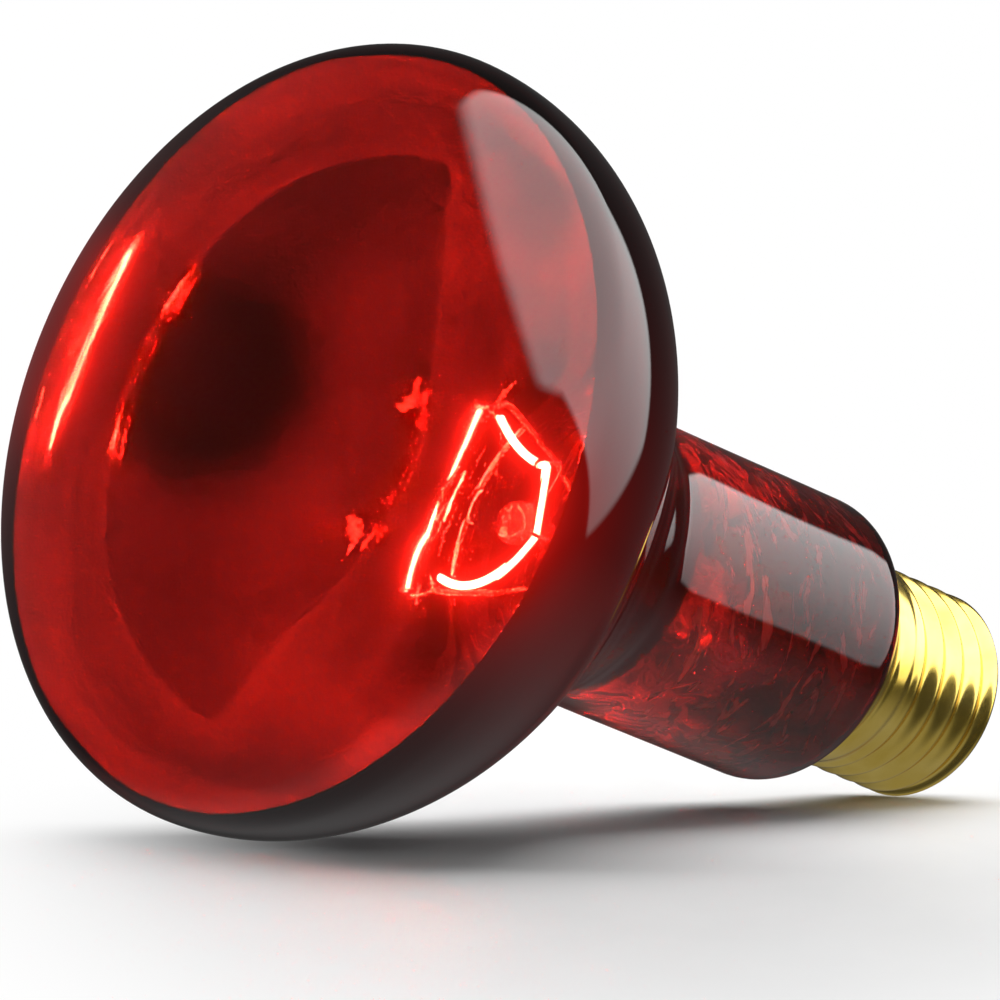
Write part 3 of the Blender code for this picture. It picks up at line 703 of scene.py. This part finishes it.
def smooth_path(points, count=40):
    """A Catmull-Rom curve through points."""
    p = [Vector(v) for v in points]
    p = [p[0] * 2 - p[1]] + p + [p[-1] * 2 - p[-2]]
    made = []
    for i in range(1, len(p) - 2):
        for t in np.linspace(0.0, 1.0, count // (len(points) - 1) + 2)[:-1]:
            a, b, c, d = p[i - 1], p[i], p[i + 1], p[i + 2]
            made.append(0.5 * ((2 * b) + (c - a) * t + (2 * a - 5 * b + 4 * c - d) * t * t
                               + (3 * b - a - 3 * c + d) * t ** 3))
    made.append(p[-2])
    return made


def upright(corner, radius):
    """The way out from the axis to a corner, and where a wire of this radius stands just beyond it."""
    way = Vector(corner).normalized()
    return way, Vector(corner) + way * (FILAMENT_R + GAP + radius)


def build_leads():
    """The two thick wires that carry the filament, from the press to hooks over its ends."""
    for side, x, corner in (("upper", -LEAD_X, CORNERS[0]), ("lower", LEAD_X, CORNERS[-1])):
        way, post = upright(corner, INNER_LEAD_R)
        bend_x, bend_z = math.copysign(LEAD_BEND[0], x), LEAD_BEND[1]
        bend = smooth_path([(x, 0.0, PRESS_Z[1]), ((x + bend_x) / 2, 0.0, (PRESS_Z[1] + bend_z) / 2),
                            (bend_x, 0.0, bend_z), (post.x, post.y, FILAMENT_Z - LEAD_POST),
                            (post.x, post.y, FILAMENT_Z + 0.6)], 60)
        hook = [Vector((post.x - way.x * back, post.y - way.y * back, FILAMENT_Z + rise))
                for back, rise in ((0.25, 1.2), (0.7, HOOK))]
        wire_piece(f"filament_lead_{side}", bend + hook, INNER_LEAD_R, NICKEL,
                   [f"inner_lead_{side}"])


def build_supports():
    """Two fine wires from the button, each curled over one of the filament's middle corners."""
    root_r = BUTTON_R + GAP + SUPPORT_R
    foot_z = FILAMENT_Z + 0.4
    for i, corner in enumerate(CORNERS[1:-1]):
        way, post = upright(corner, SUPPORT_R)
        root = way * root_r
        stem = smooth_path([(root.x, root.y, BUTTON_Z), (post.x * 0.75, post.y * 0.75, BUTTON_Z + 1.6),
                            (post.x, post.y, FILAMENT_Z - SUPPORT_POST), (post.x, post.y, foot_z)], 40)
        curl = []
        for t in np.linspace(0.3, 2.6, 14):
            back = CURL_R - CURL_R * math.cos(t)
            curl.append(Vector((post.x - way.x * back, post.y - way.y * back, foot_z + CURL_H * math.sin(t))))
        wire_piece(f"support_hook_{i + 1}", stem + curl, SUPPORT_R, MOLYBDENUM,
                   [f"filament_support_{i + 1}"])


def build_sealed_wires():
    """The wires through the press, and on from it to the cap's rim and its centre contact."""
    seal_low = STEM_TOP_Z - STEM_ROOF + GAP
    for side, x in (("upper", -LEAD_X), ("lower", LEAD_X)):
        wire_piece(f"press_wire_{side}", [(x, 0.0, z) for z in np.linspace(seal_low, PRESS_Z[1] - GAP, 8)],
                   SEAL_WIRE_R, COPPER, [f"seal_wire_{side}"])
    below = (LEAD_X, seal_low - GAP)
    rim = (NECK_END_Z + CAP_TOP_Z) / 2
    to_rim = [below, *SIDE_LEAD_BENDS, (12.3, rim), (COLLAR_R + 0.3, rim)]
    wire_piece("lead_to_rim", smooth_path([(-out, 0.0, z) for out, z in to_rim], 90), OUTER_LEAD_R,
               COPPER, ["side_lead"])
    to_contact = [below, *CENTRE_LEAD_BENDS, (0.0, INSULATOR_Z[0]), (0.0, INSULATOR_Z[0] - CONTACT_T)]
    wire_piece("lead_to_contact", smooth_path([(out, 0.0, z) for out, z in to_contact], 80), OUTER_LEAD_R,
               COPPER, ["centre_lead"])


def thread_wave(z, phi):
    """Radius of the rolled thread: rounded crests and roots that fade in and out at its ends."""
    turn = 2.0 * math.pi * (z - FIRST_CREST_Z) / PITCH - phi
    fade = max(min((THREAD_TOP_Z - z) / RUN_IN, (z - THREAD_END_Z) / RUN_OUT, 1.0), 0.0)
    depth = 0.5 - 0.5 * math.cos(turn)
    return CREST_R - (CREST_R - ROOT_R) * depth * fade * fade * (3.0 - 2.0 * fade)


def build_cap():
    """The pressed shell: flared collar, groove, rolled thread and the shoulder at its end."""
    steps = 160
    # (z, r), with r left out where the thread sets it
    rows = rounded([(CAP_TOP_Z, COLLAR_R), COLLAR_EDGE, COLLAR_FOOT, BAND, (THREAD_TOP_Z, CREST_R)], 0.35, 6)
    rows += [(float(z), None) for z in np.linspace(THREAD_TOP_Z, THREAD_END_Z, 120)[1:]]
    rows += rounded([(THREAD_END_Z, CREST_R), *CAP_SHOULDER, (CAP_END_Z, CAP_END_R)], 0.6, 6)[1:]
    bm = bmesh.new()

    def ring(z, radius, depth):
        made = []
        for k in range(steps):
            phi = 2.0 * math.pi * k / steps
            r = (thread_wave(z, phi) if radius is None else radius) - depth
            made.append(bm.verts.new((r * math.cos(phi), r * math.sin(phi), z)))
        return made

    outer = [ring(z, r, 0.0) for z, r in rows]
    inner = [ring(z, r, CAP_T) for z, r in rows[:-1]]
    inner.append(ring(CAP_END_Z + CAP_END_T, CAP_END_R, 0.0))
    loop = outer + inner[::-1]
    for i, row in enumerate(loop):
        after = loop[(i + 1) % len(loop)]
        for k in range(steps):
            m = (k + 1) % steps
            bm.faces.new((row[k], after[k], after[m], row[m]))
    mesh_piece("screw_shell", bm, BRASS, ["cap_shell"], 50.0)


def build_cement():
    """The lumpy ring between glass and shell, with a slot for the side lead where it faces up."""
    root = ROOT_R - CAP_T
    low, high = CEMENT_Z
    rng = random.Random(11)
    lumps = [(rng.uniform(0, 2 * math.pi), rng.uniform(0.3, 0.8), rng.randint(3, 9)) for _ in range(5)]

    def lumpy(r, phi):
        if abs(r - (SEAL_R + GAP)) < 0.05 or abs(r - (root - GAP)) < 0.05:
            return r
        return r + CEMENT_ROUGH * sum(a * math.sin(n * phi + p) for p, a, n in lumps)

    half_slot = math.asin(CEMENT_SLOT / 2 / root)
    ring = rounded([(high, SEAL_R + GAP), (high, root - GAP), (low, root - GAP),
                    (low, SEAL_R + GAP), (high - 0.2, SEAL_R + GAP)], 0.5, 4)[:-1]
    bm = bmesh.new()
    sections = []
    for phi in np.linspace(math.pi + half_slot, 3.0 * math.pi - half_slot, 120):
        sections.append([bm.verts.new((lumpy(r, phi) * math.cos(phi), lumpy(r, phi) * math.sin(phi), z))
                         for z, r in ring])
    for a, b in zip(sections, sections[1:]):
        for k in range(len(ring)):
            m = (k + 1) % len(ring)
            bm.faces.new((a[k], b[k], b[m], a[m]))
    bm.faces.new(sections[0][::-1])
    bm.faces.new(sections[-1])
    mesh_piece("cap_cement", bm, CEMENT, ["capping_cement"], 40.0)


def build_cap_end():
    """The black glass in the cap's end, and the contact plate on it."""
    end, top = INSULATOR_Z
    neck = [(z, INSULATOR_NECK_R) for z in INSULATOR_NECK_Z]
    profile = rounded([(top, WIRE_HOLE_R), *INSULATOR_FLANGE, *neck, *INSULATOR_FACE, (end, WIRE_HOLE_R)],
                      0.4, 6)
    mesh_piece("insulator_glass", turned(profile, 96), BLACK, ["cap_insulator"], 40.0)
    face = end - GAP - CONTACT_T
    profile = rounded([(end - GAP, CONTACT_HOLE_R), (end - GAP, CONTACT_R), (face + 0.05, CONTACT_R - 0.05),
                       (face, CONTACT_HOLE_R)], 0.3, 8)
    mesh_piece("contact_plate", turned(profile, 72), BRASS, ["centre_contact"], 40.0)


def build_centre_solder():
    """A button of solder, poured unevenly and pressed flat on its end."""
    top = END_FACE_Z + SOLDER_T
    profile = [(top, 0.0), (top, SOLDER_R)]
    profile += bezier((top - 0.05, SOLDER_R), (top - 0.45, SOLDER_R),
                      (END_FACE_Z, SOLDER_FACE_R + 0.4), (END_FACE_Z, SOLDER_FACE_R), 10)
    profile += [(END_FACE_Z, 0.0)]

    def poured(z, r, phi):
        return 0.09 * math.sin(2 * phi + 0.6) + 0.05 * math.sin(3 * phi + 2.0) if r > 0.5 else 0.0

    mesh_piece("contact_solder", turned(profile, 60, poured), SOLDER, ["centre_solder"], 50.0)


def build_side_solder():
    """A lump of solder over the side lead's end, on the cap's rim."""
    out, along, high = SIDE_SOLDER
    bm = bmesh.new()
    bmesh.ops.create_icosphere(bm, subdivisions=4, radius=1.0)
    for v in bm.verts:
        lump = 1.0 + 0.08 * math.sin(5 * v.co.x + 1.0) * math.cos(4 * v.co.y) + 0.05 * math.sin(7 * v.co.z)
        v.co = Vector((v.co.x * out * lump, v.co.y * along * lump, v.co.z * high * lump))
    centre = Vector((-(COLLAR_R + GAP + out), 0.0, SIDE_SOLDER_Z))
    bmesh.ops.translate(bm, vec=centre, verts=bm.verts)
    mesh_piece("rim_solder", bm, SOLDER, ["side_solder"], 80.0)


# ---------------------------------------------------------------- stage

def build_camera():
    """The photo's viewpoint: close to the table, in front of the lamp and to one side."""
    data = bpy.data.cameras.new("camera")
    data.lens = CAMERA_LENS_MM
    data.sensor_width = 36.0
    data.clip_start, data.clip_end = 0.05, 50.0
    camera = bpy.data.objects.new("camera", data)
    camera.location = CAMERA_AT
    camera.rotation_euler = Vector(CAMERA_LOOKS).to_track_quat('-Z', 'Y').to_euler()
    bpy.context.scene.collection.objects.link(camera)
    bpy.context.scene.camera = camera


def build_floor():
    """An oval patch of pale table, which fades out into the white round it."""
    bm = bmesh.new()
    bmesh.ops.create_circle(bm, cap_ends=True, radius=1.02, segments=128)
    mesh = bpy.data.meshes.new("floor")
    bm.to_mesh(mesh)
    bm.free()
    floor = bpy.data.objects.new("floor", mesh)
    floor.location = (*FLOOR_AT, CAD_BOX[0].z - FLOOR_DROP)
    floor.rotation_euler = (0.0, 0.0, math.radians(FLOOR_AZ - 90.0))
    floor.scale = (*FLOOR_HALF, 1.0)
    bpy.context.scene.collection.objects.link(floor)
    mat, nodes, links, shader = new_material("pale_floor")
    grain = noise(nodes, links, 5.0, 4.0)
    links.new(ramp(nodes, links, grain, [(0.3, (0.78, 0.78, 0.78)), (0.7, (0.82, 0.82, 0.82))]),
              shader.inputs["Base Color"])
    shader.inputs["Roughness"].default_value = 0.55
    shader.inputs["Specular IOR Level"].default_value = 0.2
    coord = nodes.new("ShaderNodeTexCoord")
    length = nodes.new("ShaderNodeVectorMath")
    length.operation = 'LENGTH'
    links.new(coord.outputs["Object"], length.inputs[0])
    fade = nodes.new("ShaderNodeMapRange")
    fade.interpolation_type = 'SMOOTHSTEP'
    fade.inputs["From Min"].default_value = FLOOR_FADE
    fade.inputs["From Max"].default_value = 1.0
    fade.inputs["To Min"].default_value = 1.0
    fade.inputs["To Max"].default_value = 0.0
    links.new(length.outputs["Value"], fade.inputs["Value"])
    # past the patch the camera sees the same white as the world's, and all else passes through
    white = nodes.new("ShaderNodeEmission")
    clear = nodes.new("ShaderNodeBsdfTransparent")
    past = mixed(nodes, links, nodes.new("ShaderNodeLightPath").outputs["Is Camera Ray"],
                 clear.outputs["BSDF"], white.outputs["Emission"])
    links.new(mixed(nodes, links, fade.outputs["Result"], past, shader.outputs["BSDF"]),
              nodes["Material Output"].inputs["Surface"])
    mat.cycles.emission_sampling = 'NONE'      # that white lights nothing
    mesh.materials.append(mat)
    floor.visible_glossy = False


def build_tent():
    """A diffuser lit from behind: a slice of a dome, narrow overhead and wide on one side of the lamp."""
    bm = bmesh.new()
    bmesh.ops.create_uvsphere(bm, u_segments=64, v_segments=32, radius=TENT_R)
    mesh = bpy.data.meshes.new("light_tent")
    bm.to_mesh(mesh)
    bm.free()
    tent = bpy.data.objects.new("light_tent", mesh)
    bpy.context.scene.collection.objects.link(tent)
    mat = bpy.data.materials.new("tent_fabric")
    mat.use_nodes = True
    nodes, links = mat.node_tree.nodes, mat.node_tree.links
    nodes.remove(nodes["Principled BSDF"])
    coord = nodes.new("ShaderNodeTexCoord")

    def step(way, start, end, low=0.0):
        """low before start and 1 after end, measured from the lamp towards way."""
        dot = nodes.new("ShaderNodeVectorMath")
        dot.operation = 'DOT_PRODUCT'
        dot.inputs[1].default_value = way
        links.new(coord.outputs["Object"], dot.inputs[0])
        node = nodes.new("ShaderNodeMapRange")
        node.interpolation_type = 'SMOOTHSTEP'
        node.inputs["From Min"].default_value = start * TENT_R
        node.inputs["From Max"].default_value = end * TENT_R
        node.inputs["To Min"].default_value = low
        links.new(dot.outputs["Value"], node.inputs["Value"])
        return node.outputs["Result"]

    light = step((0.0, 0.0, 1.0), -0.35, 0.4, TENT_LOW_SHARE)
    light = product(nodes, links, light, *[step(way, 0.0, TENT_SOFT) for way in TENT_SIDES])
    below = spread(nodes, links, step((0.0, 0.0, -1.0), 0.3, 0.8), ROOM_LIGHT, TABLE_LIGHT, 0.0, 1.0)
    power = nodes.new("ShaderNodeMath")
    power.operation = 'MULTIPLY_ADD'
    power.inputs[1].default_value = TENT_LIGHT
    links.new(light, power.inputs[0])
    links.new(below, power.inputs[2])
    emission = nodes.new("ShaderNodeEmission")
    links.new(power.outputs["Value"], emission.inputs["Strength"])
    links.new(emission.outputs["Emission"], nodes["Material Output"].inputs["Surface"])
    mesh.materials.append(mat)
    tent.visible_camera = False
    tent.visible_diffuse = False
    tent.visible_shadow = False


def build_panel():
    """A soft light that shapes the floor and its shadows; the tent makes the highlights."""
    data = bpy.data.lights.new("panel", 'AREA')
    data.shape = 'RECTANGLE'
    data.size, data.size_y = PANEL_SIZE
    data.energy = PANEL_WATTS
    panel = bpy.data.objects.new("panel", data)
    panel.location = PANEL_AT
    panel.rotation_euler = (-Vector(PANEL_AT)).to_track_quat('-Z', 'Y').to_euler()
    panel.visible_camera = False
    panel.visible_glossy = False
    panel.visible_transmission = False
    bpy.context.scene.collection.objects.link(panel)


def build_world():
    """White where the camera looks past the floor; a dim room everywhere else."""
    world = bpy.data.worlds.new("studio")
    bpy.context.scene.world = world
    world.use_nodes = True
    nodes, links = world.node_tree.nodes, world.node_tree.links
    dim = nodes["Background"]
    dim.inputs["Color"].default_value = (WORLD_GREY, WORLD_GREY, WORLD_GREY, 1.0)
    white = nodes.new("ShaderNodeBackground")
    white.inputs["Color"].default_value = (1.0, 1.0, 1.0, 1.0)
    seen = mixed(nodes, links, nodes.new("ShaderNodeLightPath").outputs["Is Camera Ray"],
                 dim.outputs["Background"], white.outputs["Background"])
    links.new(seen, nodes["World Output"].inputs["Surface"])


def build_glare():
    """The lens spreads some of the filament's light into a soft glow round it."""
    scene = bpy.context.scene
    scene.use_nodes = True
    tree = scene.node_tree
    tree.nodes.clear()
    layers = tree.nodes.new("CompositorNodeRLayers")
    glare = tree.nodes.new("CompositorNodeGlare")
    glare.glare_type = 'BLOOM'
    glare.quality = 'HIGH'
    glare.inputs["Threshold"].default_value = GLARE_FROM
    glare.inputs["Strength"].default_value = GLARE_SHARE
    glare.inputs["Size"].default_value = GLARE_SIZE
    glare.inputs["Clamp"].default_value = True
    glare.inputs["Maximum"].default_value = GLARE_MOST
    out = tree.nodes.new("CompositorNodeComposite")
    tree.links.new(layers.outputs["Image"], glare.inputs["Image"])
    tree.links.new(glare.outputs["Image"], out.inputs["Image"])


def set_light_paths():
    """Plain colours, no light patterns cast through the glass, and the filament's light uncut."""
    scene = bpy.context.scene
    scene.view_settings.view_transform = 'Standard'
    scene.cycles.sample_clamp_indirect = 0.0
    scene.cycles.caustics_refractive = False


build_camera()
build_glass()
build_mirror()
build_stem()
build_exhaust()
build_arbor()
build_filament()
build_leads()
build_supports()
build_sealed_wires()
build_cap()
build_cement()
build_cap_end()
build_centre_solder()
build_side_solder()
build_floor()
build_tent()
build_panel()
build_world()
build_glare()
set_light_paths()
